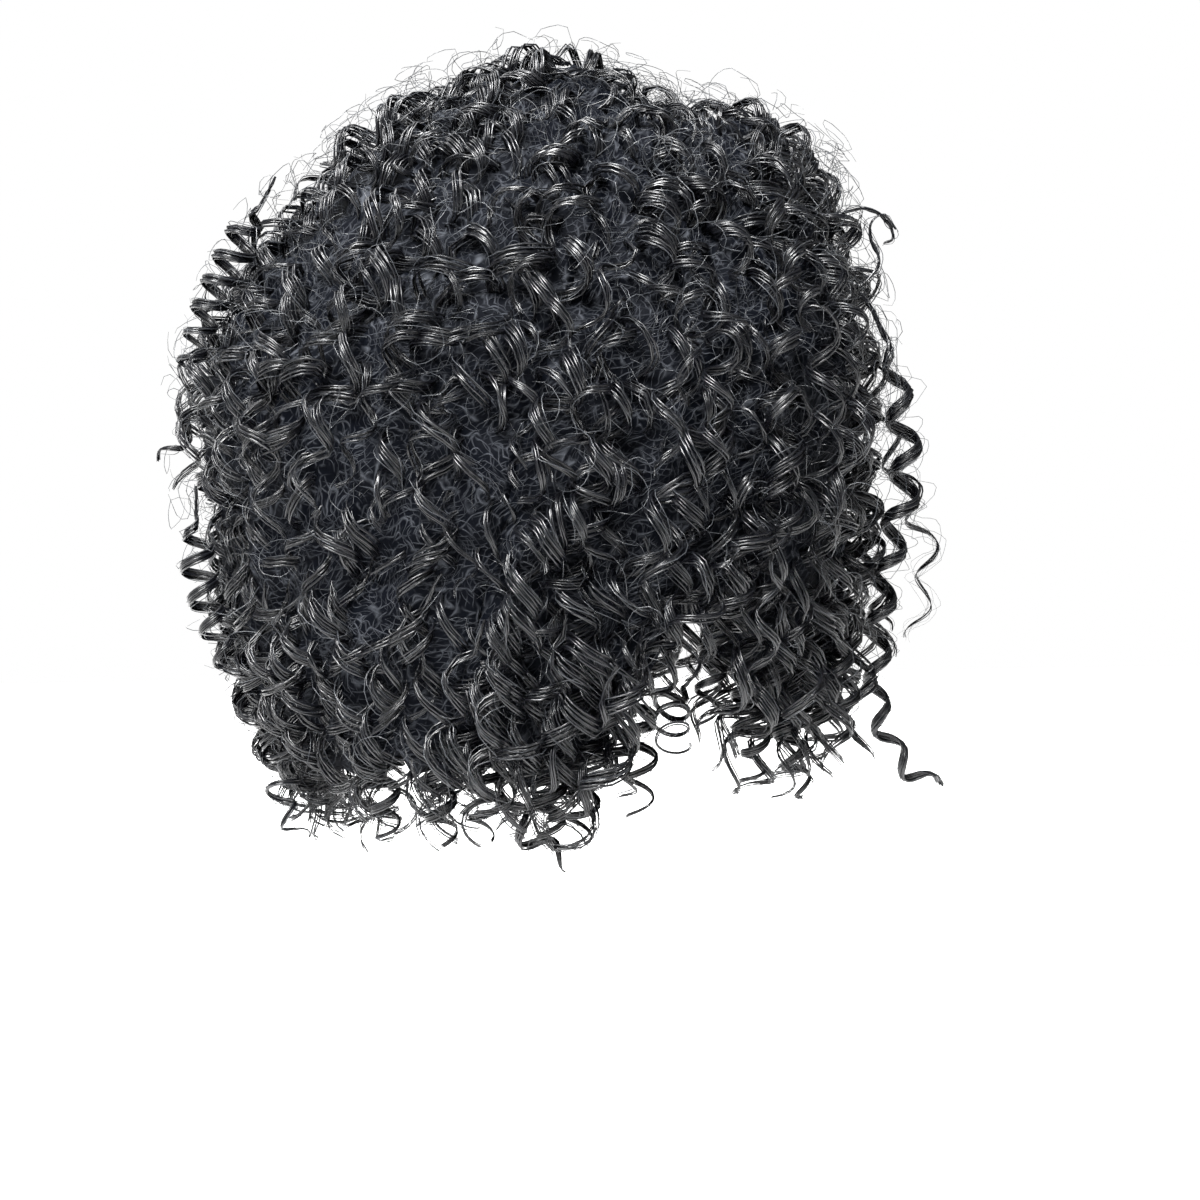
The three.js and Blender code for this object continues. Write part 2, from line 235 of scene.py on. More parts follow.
@dataclass(frozen=True)
class HairFibre:
    """Black modacrylic fibre, drawn and heat-set: bundles of smooth filaments with a satin gloss."""

    name: str = "black_modacrylic_fibre"
    deep: str = "010103"
    light: str = "0a0b0e"
    roughness: float = 0.28
    specular: float = 0.32
    ior: float = 1.53
    fibre_mm: float = 0.5  # coarser than the real 0.1 mm filaments, so that they show
    run_mm: float = 30.0
    tone_step: float = 97.0  # shifts the filaments from strand to strand
    contrast: tuple = (1.6, -0.55)  # slope and offset of the filaments' shade
    gloss: tuple = (-0.1, 0.12)  # roughness that the filaments add
    relief_mm: float = 0.25
    relief: float = 0.8

    def material(self) -> bpy.types.Material:
        """Builds the fibre material: filaments run along each strand, and strands differ in shade."""
        material, tree, shader = new_material(self.name)
        shader.inputs["IOR"].default_value = self.ior
        shader.inputs["Specular IOR Level"].default_value = self.specular
        tone = add_node(tree, "ShaderNodeAttribute", attribute_name="tone").outputs["Fac"]
        across = add_node(tree, "ShaderNodeAttribute", attribute_name="across").outputs["Vector"]
        along = add_node(tree, "ShaderNodeAttribute", attribute_name="along").outputs["Fac"]
        run = add_node(tree, "ShaderNodeMath", {0: along, 1: 1 / (self.run_mm * MM)}, operation="MULTIPLY")
        spread = add_node(
            tree, "ShaderNodeVectorMath", {0: across, "Scale": 1 / (self.fibre_mm * MM)}, operation="SCALE"
        )
        apart = add_node(
            tree, "ShaderNodeMath", {0: tone, 1: self.tone_step, 2: run.outputs[0]}, operation="MULTIPLY_ADD"
        )
        stretch = add_node(tree, "ShaderNodeCombineXYZ", {"Z": apart.outputs[0]})
        place = add_node(
            tree, "ShaderNodeVectorMath", {0: spread.outputs[0], 1: stretch.outputs[0]}, operation="ADD"
        )
        filaments = add_node(
            tree, "ShaderNodeTexNoise", {"Vector": place.outputs[0], "Scale": 1.0, "Detail": 3.0}
        ).outputs["Fac"]
        slope, start = self.contrast
        mixed = add_node(
            tree, "ShaderNodeMath", {0: filaments, 1: slope, 2: start}, operation="MULTIPLY_ADD"
        )
        weight = add_node(
            tree, "ShaderNodeMath", {0: mixed.outputs[0], 1: tone}, operation="ADD", use_clamp=True
        )
        shade = add_node(
            tree,
            "ShaderNodeMix",
            {"Factor": weight.outputs[0], 6: linear(self.deep), 7: linear(self.light)},
            data_type="RGBA",
        )
        low, high = (self.roughness + step for step in self.gloss)
        gloss = add_node(tree, "ShaderNodeMapRange", {"Value": filaments, "To Min": low, "To Max": high})
        relief = add_node(
            tree,
            "ShaderNodeBump",
            {"Height": filaments, "Strength": self.relief, "Distance": self.relief_mm * MM},
        )
        tree.links.new(shade.outputs[2], shader.inputs["Base Color"])
        tree.links.new(gloss.outputs["Result"], shader.inputs["Roughness"])
        tree.links.new(relief.outputs["Normal"], shader.inputs["Normal"])
        return material


@dataclass(frozen=True)
class TangledFibre:
    """The same fibre in a loose tangle under the locks: black with a painted bluish shade between the hairs,
    crossed by fine hairs painted lighter as painted glints.
    """

    name: str = "tangled_fibre_painted_glints"
    # deep is the black between the hairs, tinted blue as painted shade; light is a painted glint on the fine
    # hairs
    deep: str = "010205"
    light: str = "2f3135"
    roughness: float = 0.7
    # almost no gloss: the hairs' brightness comes from their painted glint colour
    specular: float = 0.03
    layers: int = 5
    hair_mm: float = 0.4  # coarser than the real 0.1 mm filaments, so that they show
    apart_mm: float = 3.2
    curl_mm: float = 17.0
    curl_detail: float = 0.6
    sway_mm: float = 24.0
    patch_mm: float = 8.0
    patch_edge: tuple = (0.42, 0.62)  # noise between which the hairs of a patch come into sight
    layer_turn: tuple = (1.1, 2.3, 0.7)  # radians from one layer to the next
    relief_mm: float = 0.6

    def material(self) -> bpy.types.Material:
        """Builds the tangle: layers of loose hairs that sway and cross, painted lighter as painted glints
        over a black with painted bluish shade.
        """
        material, tree, shader = new_material(self.name)
        shader.inputs["Roughness"].default_value = self.roughness
        shader.inputs["Specular IOR Level"].default_value = self.specular
        place = add_node(tree, "ShaderNodeTexCoord").outputs["Object"]
        hairs = 0.0
        for number in range(self.layers):
            turn = tuple(step * number for step in self.layer_turn)
            turned = add_node(
                tree, "ShaderNodeMapping", {"Vector": place, "Rotation": turn}
            ).outputs["Vector"]
            hairs = add_node(
                tree, "ShaderNodeMath", {0: hairs, 1: self._layer(tree, turned)}, operation="MAXIMUM"
            ).outputs[0]
        # Painted glints and shade: the hairs are mixed towards the lighter colour, the gaps towards the
        # bluish black
        shade = add_node(
            tree,
            "ShaderNodeMix",
            {"Factor": hairs, 6: linear(self.deep), 7: linear(self.light)},
            data_type="RGBA",
        )
        relief = add_node(tree, "ShaderNodeBump", {"Height": hairs, "Distance": self.relief_mm * MM})
        tree.links.new(shade.outputs[2], shader.inputs["Base Color"])
        tree.links.new(relief.outputs["Normal"], shader.inputs["Normal"])
        return material

    def _layer(self, tree: bpy.types.NodeTree, place: bpy.types.NodeSocket) -> bpy.types.NodeSocket:
        """Draws one layer of hairs.

        Args:
            tree: Tree of the material.
            place: Coordinates, turned for this layer.

        Returns:
            The weight of the hairs, from 0 to 1.
        """
        wave = add_node(
            tree,
            "ShaderNodeTexNoise",
            {"Vector": place, "Scale": 1 / (self.curl_mm * MM), "Detail": self.curl_detail},
        )
        sway = [self.sway_mm * MM] * 3
        swung = add_node(
            tree,
            "ShaderNodeVectorMath",
            {0: wave.outputs["Color"], 1: sway, 2: place},
            operation="MULTIPLY_ADD",
        )
        across = add_node(tree, "ShaderNodeSeparateXYZ", {0: swung.outputs[0]}).outputs["X"]
        number = add_node(
            tree, "ShaderNodeMath", {0: across, 1: 1 / (self.apart_mm * MM)}, operation="MULTIPLY"
        )
        away = add_node(tree, "ShaderNodeMath", {0: number.outputs[0], 1: 0.5}, operation="PINGPONG")
        edge = self.hair_mm / self.apart_mm
        line = add_node(
            tree,
            "ShaderNodeMapRange",
            {"Value": away.outputs[0], "From Max": edge, "To Min": 1.0, "To Max": 0.0},
        )
        patches = add_node(tree, "ShaderNodeTexNoise", {"Vector": place, "Scale": 1 / (self.patch_mm * MM)})
        low, high = self.patch_edge
        seen = add_node(
            tree, "ShaderNodeMapRange", {"Value": patches.outputs["Fac"], "From Min": low, "From Max": high}
        )
        weight = add_node(
            tree,
            "ShaderNodeMath",
            {0: line.outputs["Result"], 1: seen.outputs["Result"]},
            operation="MULTIPLY",
        )
        return weight.outputs[0]


class Finishes:
    """The finishes of the hair, made once: locks, single hairs with a painted sheen, and the tangle under the
    locks with painted glints.
    """

    def __init__(self) -> None:
        """Makes the materials."""
        self.lock = HairFibre().material()
        # Single hairs: the same fibre painted lighter, a painted sheen for the light that fine hairs catch
        self.single = HairFibre(
            name="single_fibre_painted_sheen", deep="0b0c0e", light="303235"
        ).material()
        self.tangle = TangledFibre().material()


@dataclass(frozen=True)
class CapNet:
    """Black nylon stretch net, warp-knitted: matt, with fine openings."""

    name: str = "black_stretch_net"
    thread: str = "1c1c1f"
    opening: str = "060607"
    roughness: float = 0.82
    cell_mm: float = 2.6  # coarser than the real 1.2 mm mesh, so that it shows
    uneven: float = 0.25
    thread_edge: float = 0.3  # of a cell, from the thread's middle to the opening
    relief_mm: float = 0.4
    relief: float = 0.6

    def material(self) -> bpy.types.Material:
        """Builds the knitted net, with a cell for each opening."""
        material, tree, shader = new_material(self.name)
        shader.inputs["Roughness"].default_value = self.roughness
        place = add_node(tree, "ShaderNodeTexCoord")
        cells = add_node(
            tree,
            "ShaderNodeTexVoronoi",
            {"Vector": place.outputs["Object"], "Scale": 1 / (self.cell_mm * MM), "Randomness": self.uneven},
            feature="DISTANCE_TO_EDGE",
        )
        inside = add_node(
            tree, "ShaderNodeMapRange", {"Value": cells.outputs["Distance"], "From Max": self.thread_edge}
        )
        shade = add_node(
            tree,
            "ShaderNodeMix",
            {"Factor": inside.outputs["Result"], 6: linear(self.thread), 7: linear(self.opening)},
            data_type="RGBA",
        )
        relief = add_node(
            tree,
            "ShaderNodeBump",
            {"Height": inside.outputs["Result"], "Strength": self.relief, "Distance": self.relief_mm * MM},
            invert=True,
        )
        tree.links.new(shade.outputs[2], shader.inputs["Base Color"])
        tree.links.new(relief.outputs["Normal"], shader.inputs["Normal"])
        return material


@dataclass(frozen=True)
class HairForm:
    """Form that the hair fills, measured by rays from a middle inside the cap.

    A place is given by its share of the fall from the whorl to the hem, and by the degrees
    around from the back towards the wearer's left.
    """

    middle: tuple = (0.0, 20.0, -120.0)
    hollow: tuple = (77.0, 97.0, 95.0)  # half axes of the cap's inside
    seat: float = 2.0  # from the cap's inside to the hair
    hang_middle: float = 12.0
    whorl_tilt: float = 17.0
    leaves_cap: tuple = ((0.74, 0.5, 0.34), (0.92, 0.72, 0.56))  # falls where it starts and has done so
    hem: tuple = (163.0, 150.0, 131.0)  # degrees down at the back, side and front
    corner: tuple = (18.0, 0.2, 0.5)  # extra reach beside the face, and the falls it grows over
    girth_points: int = 24
    reach: tuple = (
        # fall, back, side, front
        (0.00, 140, 140, 140),
        (0.06, 160, 148, 149),
        (0.12, 161, 152, 162),
        (0.20, 153, 149, 166),
        (0.30, 148, 142, 152),
        (0.40, 148, 140, 141),
        (0.52, 155, 142, 133),
        (0.64, 163, 145, 137),
        (0.76, 165, 153, 150),
        (0.88, 185, 178, 182),
        (1.00, 207, 212, 204),
        (1.10, 222, 232, 220),
    )
    ends: tuple = (
        # degrees from the back on either side, share of the fall where the locks end
        (0, 1.0),
        (60, 0.994),
        (80, 0.985),
        (95, 0.972),
        (110, 0.955),
        (113, 0.9),
        (116, 0.81),
        (120, 0.77),
        (124, 0.79),
        (128, 0.835),
        (132, 0.87),
        (142, 0.906),
        (150, 0.886),
        (154, 0.82),
        (159, 0.8),
        (164, 0.62),
        (180, 0.6),
    )

    def blend(self, figures: tuple, around: np.ndarray) -> np.ndarray:
        """Eases back, side and front figures into each other around the wig."""
        back, side, front = figures
        along = np.cos(np.radians(around))
        return side + (np.where(along > 0, back, front) - side) * along**2

    def direction(self, fall: np.ndarray, around: np.ndarray) -> np.ndarray:
        """Gives unit rays from the middle."""
        down = np.radians(fall * self.blend(self.hem, around))
        a = np.radians(around)
        x, y, z = np.sin(down) * np.sin(a), np.sin(down) * np.cos(a), np.cos(down) + 0 * a
        tilt = math.radians(self.whorl_tilt)
        lean, rise = math.cos(tilt), math.sin(tilt)
        return np.stack([x, y * lean - z * rise, y * rise + z * lean], -1)

    def outer(self, fall: np.ndarray, around: np.ndarray) -> np.ndarray:
        """Gives the reach of the curls' outside."""
        table = np.array(self.reach, float)
        figures = tuple(np.interp(fall, table[:, 0], table[:, column]) for column in (1, 2, 3))
        size, start, full = self.corner
        a = np.radians(around)
        corner = np.where(np.cos(a) < 0, size * np.sin(2 * a) ** 2, 0.0)
        return self.blend(figures, around) + corner * smooth(start, full, fall)

    def room(self, fall: np.ndarray, around: np.ndarray) -> np.ndarray:
        """Gives the depth of the hair over its seat on the cap."""
        axes = np.array(self.hollow) + self.seat
        step = self.direction(fall, around) / axes
        start = (np.array(self.middle) + (0, 0, self.hollow[2])) / axes
        b = step @ start
        square = (step**2).sum(-1)
        return self.outer(fall, around) - (-b + np.sqrt(b * b - square * (start @ start - 1))) / square

    def hangs(self, fall: np.ndarray, around: np.ndarray) -> np.ndarray:
        """Gives 0 where the hair lies on the cap, up to 1 where it hangs free under the rim."""
        start, end = (self.blend(figures, around) for figures in self.leaves_cap)
        return smooth(start, end, fall)

    def skin(self, fall: np.ndarray, around: np.ndarray) -> np.ndarray:
        """Gives points on the curls' outside."""
        return self.direction(fall, around) * self.outer(fall, around)[..., None] + np.array(self.middle)

    def way(self, fall: np.ndarray, around: np.ndarray) -> np.ndarray:
        """Gives the way outwards: along the ray on the cap, and level where the hair hangs."""
        ray = self.direction(fall, around)
        level = self.skin(fall, around) - (0.0, self.hang_middle, 0.0)
        level[..., 2] = 0.0
        return ray + (unit(level) - ray) * self.hangs(fall, around)[..., None]

    def sunk(self, fall: np.ndarray, around: np.ndarray, depth: np.ndarray) -> np.ndarray:
        """Gives points at a depth under the curls' outside."""
        return self.skin(fall, around) - self.way(fall, around) * np.asarray(depth)[..., None]

    def end(self, around: np.ndarray) -> np.ndarray:
        """Gives the share of the fall where locks end, with a notch in front of each ear."""
        table = np.array(self.ends, float)
        apart = np.abs((np.asarray(around) + 180) % 360 - 180)
        return np.interp(apart, table[:, 0], table[:, 1])

    def arc(self, fall: float, around: float) -> float:
        """Gives the length of outside that one whole share of the fall spans here."""
        return float(self.outer(fall, around) * np.radians(self.blend(self.hem, around)))

    def girth(self, fall: float, start: float, end: float) -> float:
        """Gives the length of outside between two angles around, at a share of the fall."""
        around = np.linspace(start, end, self.girth_points)
        path = self.skin(np.full(self.girth_points, fall), around)
        return float(np.linalg.norm(np.diff(path, axis=0), axis=1).sum())


FORM = HairForm()


@dataclass
class Guide:
    """Middle line of a corkscrew, with what the strands round it need at each point."""

    FINE = 200  # steps in which the points are shared out
    points: np.ndarray
    out: np.ndarray
    coil: np.ndarray
    turn: np.ndarray
    slim: np.ndarray
    band: float

    @classmethod
    def along(cls, path: np.ndarray, facing: np.ndarray, twist: "Twist", per_turn: int = 10) -> "Guide":
        """Samples a path evenly, a set number of times in each turn.

        Args:
            path: Points along the middle line.
            facing: Rough outward direction at each point.
            twist: How the corkscrew turns.
            per_turn: Points in a turn.

        Returns:
            The guide.
        """
        length = np.concatenate([[0.0], np.cumsum(np.linalg.norm(np.diff(path, axis=0), axis=1))])
        count = max(5, int(length[-1] / twist.pitch * per_turn))
        spaced = np.linspace(0, 1, cls.FINE)
        crowd = np.cumsum(np.where(spaced < twist.opens[1], twist.root_points, 1.0))
        t = np.interp(np.linspace(crowd[0], crowd[-1], count), crowd, spaced)
        s = t * length[-1]
        points = np.stack([np.interp(s, length, path[:, k]) for k in range(3)], -1)
        face = np.stack([np.interp(s, length, facing[:, k]) for k in range(3)], -1)
        tangent = unit(np.gradient(points, s, axis=0))
        out = unit(face - (face * tangent).sum(-1, keepdims=True) * tangent)
        opened = twist.coil * smooth(*twist.opens, t) * (1 + (twist.tip - 1) * smooth(twist.tip_from, 1.0, t))
        turn = twist.hand.value * 2 * math.pi * s / twist.pitch + twist.phase
        slim = 1 - twist.taper * smooth(twist.taper_from, 1.0, t)
        return cls(points, out, opened, turn, slim, twist.band)


@dataclass(frozen=True)
class Twist:
    """How a corkscrew turns, in millimetres, radians and shares of its length."""

    coil: float
    pitch: float
    phase: float = 0.0
    hand: Hand = Hand.RIGHT
    opens: tuple = (0.02, 0.25)
    tip: float = 0.8
    taper: float = 0.6
    band: float = 1.0
    tip_from: float = 0.45
    taper_from: float = 0.6
    root_points: float = 0.45  # how dense the points are before it has opened


def guide_object(name: str, guides: list[Guide]) -> bpy.types.Object:
    """Joins guides into one object of edges that carries their values as attributes.

    Args:
        name: Name of the object.
        guides: Guides to join.

    Returns:
        The object.
    """
    edges, first = [], 0
    for guide in guides:
        count = len(guide.points)
        edges += [(first + k, first + k + 1) for k in range(count - 1)]
        first += count
    piece = mesh_object(name, np.concatenate([g.points for g in guides]), edges, [])
    attributes = piece.data.attributes
    values = {
        "coil": np.concatenate([g.coil * MM for g in guides]),
        "turn": np.concatenate([g.turn for g in guides]),
        "slim": np.concatenate([g.slim for g in guides]),
        "band": np.concatenate([np.full(len(g.points), g.band) for g in guides]),
    }
    for key, numbers in values.items():
        attributes.new(key, "FLOAT", "POINT").data.foreach_set("value", numbers.astype(np.float32))
    out = np.concatenate([g.out for g in guides]).astype(np.float32)
    attributes.new("out", "FLOAT_VECTOR", "POINT").data.foreach_set("vector", out.ravel())
    lock = np.concatenate([np.full(len(g.points), i) for i, g in enumerate(guides)]).astype(np.int32)
    attributes.new("lock", "INT", "POINT").data.foreach_set("value", lock)
    return piece


@dataclass(frozen=True)
class StrandSizes:
    """How the strands lie in a lock, in millimetres and radians."""

    strands: int
    sides: int
    width: float
    thickness: float
    band: float
    wander: float
    wander_size: float = 14.0
    lag: float = 0.2
    swell: float = 0.1
    tone: tuple = (0.0, 1.0)
    seed: int = SEED


class StrandTree:
    """Geometry Nodes tree that coils a band of strands round every guide line."""

    INPUTS = (
        ("Strands", "NodeSocketInt"),
        ("Sides", "NodeSocketInt"),
        ("Width", "NodeSocketFloat"),
        ("Thickness", "NodeSocketFloat"),
        ("Band", "NodeSocketFloat"),
        ("Wander", "NodeSocketFloat"),
        ("Wander Size", "NodeSocketFloat"),
        ("Lag", "NodeSocketFloat"),
        ("Swell", "NodeSocketFloat"),
        ("Tone Low", "NodeSocketFloat"),
        ("Tone High", "NodeSocketFloat"),
        ("Seed", "NodeSocketInt"),
        ("Material", "NodeSocketMaterial"),
    )
    KEPT = (
        # values that the guides carry, and the way that the flat of a strand faces
        ("coil", "FLOAT"),
        ("turn", "FLOAT"),
        ("slim", "FLOAT"),
        ("band", "FLOAT"),
        ("lock", "INT"),
        ("out", "FLOAT_VECTOR"),
        ("facing", "FLOAT_VECTOR"),
    )
    KEY_STEP = 64.0  # more than the strands of a lock, so that each strand has its own key
    WANDER_STEP = 3.7  # in the noise, from one strand to the next

    def __init__(self) -> None:
        """Builds the tree once, for all pieces."""
        self.tree = bpy.data.node_groups.new("coiled_strands", "GeometryNodeTree")
        face = self.tree.interface
        face.new_socket("Geometry", in_out="INPUT", socket_type="NodeSocketGeometry")
        self.ids = {n: face.new_socket(n, in_out="INPUT", socket_type=k).identifier for n, k in self.INPUTS}
        face.new_socket("Geometry", in_out="OUTPUT", socket_type="NodeSocketGeometry")
        self._build()

    def _build(self) -> None:
        """Lays out the nodes: copies of each guide, coiled, shaken and swept."""
        add = partial(add_node, self.tree)
        math_node, vector_node = "ShaderNodeMath", "ShaderNodeVectorMath"
        given = add("NodeGroupInput").outputs
        kept = {
            name: add("GeometryNodeInputNamedAttribute", {"Name": name}, data_type=kind).outputs["Attribute"]
            for name, kind in self.KEPT
        }
        lines = add("GeometryNodeMeshToCurve", {"Mesh": given["Geometry"]})
        wanted = add(math_node, {0: given["Strands"], 1: kept["band"]}, operation="MULTIPLY").outputs[0]
        amount = add(math_node, {0: wanted, 1: 1.0}, operation="MAXIMUM").outputs[0]
        whole = add(math_node, {0: amount}, operation="ROUND").outputs[0]
        copies = add(
            "GeometryNodeDuplicateElements",
            {"Geometry": lines.outputs["Curve"], "Amount": whole},
            domain="SPLINE",
        )
        number = copies.outputs["Duplicate Index"]
        key = add(
            math_node, {0: kept["lock"], 1: self.KEY_STEP, 2: number}, operation="MULTIPLY_ADD"
        ).outputs[0]
        ranges = ((-1.0, 1.0), (-1.0, 1.0), (given["Tone Low"], given["Tone High"]))
        draws = []
        for step, (low, high) in enumerate(ranges):
            seed = add(math_node, {0: given["Seed"], 1: float(step)}, operation="ADD").outputs[0]
            draw = add(
                "FunctionNodeRandomValue", {"ID": key, "Seed": seed, 2: low, 3: high}, data_type="FLOAT"
            )
            draws.append(draw.outputs[1])
        late_draw, swell_draw, tone = draws
        tangent = add("GeometryNodeInputTangent").outputs["Tangent"]
        out = kept["out"]
        aside = add(vector_node, {0: tangent, 1: out}, operation="CROSS_PRODUCT").outputs[0]

        # Angle and radius of this strand round the guide
        late = add(math_node, {0: given["Lag"], 1: late_draw}, operation="MULTIPLY").outputs[0]
        turn = add(math_node, {0: kept["turn"], 1: late}, operation="ADD").outputs[0]
        swell = add(
            math_node, {0: given["Swell"], 1: swell_draw, 2: 1.0}, operation="MULTIPLY_ADD"
        ).outputs[0]
        wide = add(math_node, {0: kept["coil"], 1: swell}, operation="MULTIPLY").outputs[0]
        cosine = add(math_node, {0: turn}, operation="COSINE").outputs[0]
        sine = add(math_node, {0: turn}, operation="SINE").outputs[0]
        round_out = add(vector_node, {0: out, "Scale": cosine}, operation="SCALE").outputs[0]
        round_aside = add(vector_node, {0: aside, "Scale": sine}, operation="SCALE").outputs[0]
        radial = add(vector_node, {0: round_out, 1: round_aside}, operation="ADD").outputs[0]
        coiled = add(vector_node, {0: radial, "Scale": wide}, operation="SCALE").outputs[0]

        # Place of this strand across the band, which lies along the guide
        halfway = add(math_node, {0: number, 1: 0.5}, operation="ADD").outputs[0]
        spread = add(math_node, {0: halfway, 1: amount}, operation="DIVIDE").outputs[0]
        share = add(math_node, {0: kept["band"], 1: kept["slim"]}, operation="MULTIPLY").outputs[0]
        band = add(math_node, {0: given["Band"], 1: share}, operation="MULTIPLY").outputs[0]
        beside = add(math_node, {0: spread, 1: 0.5}, operation="SUBTRACT").outputs[0]
        across = add(math_node, {0: beside, 1: band}, operation="MULTIPLY").outputs[0]
        slipped = add(vector_node, {0: tangent, "Scale": across}, operation="SCALE").outputs[0]

        # Slow wander, different for each strand, that gathers towards the tip
        position = add("GeometryNodeInputPosition").outputs["Position"]
        own = add(math_node, {0: key, 1: self.WANDER_STEP}, operation="MULTIPLY").outputs[0]
        scale = add(math_node, {0: 1.0, 1: given["Wander Size"]}, operation="DIVIDE").outputs[0]
        noise = add(
            "ShaderNodeTexNoise",
            {"Vector": position, "W": own, "Scale": scale, "Detail": 1.0},
            noise_dimensions="4D",
        )
        centred = add(
            vector_node, {0: noise.outputs["Color"], 1: (0.5, 0.5, 0.5)}, operation="SUBTRACT"
        ).outputs[0]
        reach = add(math_node, {0: given["Wander"], 1: kept["slim"]}, operation="MULTIPLY").outputs[0]
        drift = add(vector_node, {0: centred, "Scale": reach}, operation="SCALE").outputs[0]
        laid = add(vector_node, {0: coiled, 1: slipped}, operation="ADD").outputs[0]
        offset = add(vector_node, {0: laid, 1: drift}, operation="ADD").outputs[0]

        # Values for the material, and the way that the flat of the strand faces
        toned = add(
            "GeometryNodeStoreNamedAttribute",
            {"Geometry": copies.outputs["Geometry"], "Name": "tone", "Value": tone},
            data_type="FLOAT",
            domain="POINT",
        )
        facing = add(
            "GeometryNodeStoreNamedAttribute",
            {"Geometry": toned.outputs["Geometry"], "Name": "facing", "Value": radial},
            data_type="FLOAT_VECTOR",
            domain="POINT",
        )
        placed = add(
            "GeometryNodeSetPosition", {"Geometry": facing.outputs["Geometry"], "Offset": offset}
        )
        length = add("GeometryNodeSplineParameter").outputs["Length"]
        measured = add(
            "GeometryNodeStoreNamedAttribute",
            {"Geometry": placed.outputs["Geometry"], "Name": "along", "Value": length},
            data_type="FLOAT",
            domain="POINT",
        )
        faced = add(
            "GeometryNodeSetCurveNormal",
            {"Curve": measured.outputs["Geometry"], "Normal": kept["facing"]},
            mode="FREE",
        )

        # Flat section, swept along the strand
        ring = add(
            "GeometryNodeCurvePrimitiveCircle",
            {"Resolution": given["Sides"], "Radius": 0.5},
            mode="RADIUS",
        )
        flat = add("ShaderNodeCombineXYZ", {0: given["Thickness"], 1: given["Width"], 2: 1.0})
        section = add(
            "GeometryNodeTransform", {"Geometry": ring.outputs["Curve"], "Scale": flat.outputs[0]}
        )
        mapped = add(
            "GeometryNodeStoreNamedAttribute",
            {"Geometry": section.outputs["Geometry"], "Name": "across", "Value": position},
            data_type="FLOAT_VECTOR",
            domain="POINT",
        )
        swept = add(
            "GeometryNodeCurveToMesh",
            {
                "Curve": faced.outputs["Curve"],
                "Profile Curve": mapped.outputs["Geometry"],
                "Scale": kept["slim"],
                "Fill Caps": True,
            },
        )
        real = add("GeometryNodeRealizeInstances", {"Geometry": swept.outputs["Mesh"]})
        dressed = add(
            "GeometryNodeSetMaterial",
            {"Geometry": real.outputs["Geometry"], "Material": given["Material"]},
        )
        add("NodeGroupOutput", {"Geometry": dressed.outputs["Geometry"]})

    def grow(
        self, guides: bpy.types.Object, sizes: StrandSizes, material: bpy.types.Material
    ) -> bpy.types.Mesh:
        """Grows strands on guides and gives them back as a plain mesh.

        Args:
            guides: Object of guide lines.
            sizes: How the strands lie.
            material: Finish of the strands.

        Returns:
            The strands' mesh.
        """
        modifier = guides.modifiers.new("strands", "NODES")
        modifier.node_group = self.tree
        values = {
            "Strands": sizes.strands,
            "Sides": sizes.sides,
            "Width": sizes.width * MM,
            "Thickness": sizes.thickness * MM,
            "Band": sizes.band * MM,
            "Wander": sizes.wander * MM,
            "Wander Size": sizes.wander_size * MM,
            "Lag": sizes.lag,
            "Swell": sizes.swell,
            "Tone Low": sizes.tone[0],
            "Tone High": sizes.tone[1],
            "Seed": sizes.seed,
            "Material": material,
        }
        for name, value in values.items():
            modifier[self.ids[name]] = value
        depsgraph = bpy.context.evaluated_depsgraph_get()
        mesh = bpy.data.meshes.new_from_object(guides.evaluated_get(depsgraph))
        guides.modifiers.remove(modifier)
        return mesh

    def dressed(
        self, name: str, growths: list[tuple[list[Guide], StrandSizes]], material: bpy.types.Material
    ) -> bpy.types.Object:
        """Grows kinds of strands on their guides and joins them into one piece.

        Args:
            name: Name of the piece.
            growths: Guides, and how the strands on them lie.
            material: Finish of the strands.

        Returns:
            The piece.
        """
        meshes = []
        for lines, sizes in growths:
            guides = guide_object(f"{name}_guides", lines)
            meshes.append(self.grow(guides, sizes, material))
            bpy.data.objects.remove(guides)
        return joined(name, meshes)


RIBBONS = StrandSizes(
    strands=7, sides=3, width=1.25, thickness=0.8, band=6.6, wander=2.6, lag=0.16, swell=0.1
)
STRAYS = StrandSizes(
    strands=2,
    sides=3,
    width=0.4,
    thickness=0.4,
    band=9.0,
    wander=10.0,
    lag=0.6,
    swell=0.3,
    seed=SEED + 50,
)
RINGLETS = StrandSizes(
    strands=7, sides=3, width=1.4, thickness=1.0, band=4.2, wander=1.2, lag=0.1, swell=0.06
)
HALO = StrandSizes(
    strands=7,
    sides=3,
    width=0.22,
    thickness=0.22,
    band=10.0,
    wander=18.0,
    wander_size=9.0,
    lag=0.7,
    swell=0.6,
    seed=SEED + 70,
)
FRIZZ = StrandSizes(strands=1, sides=3, width=0.3, thickness=0.3, band=0.0, wander=5.0, seed=SEED + 90)


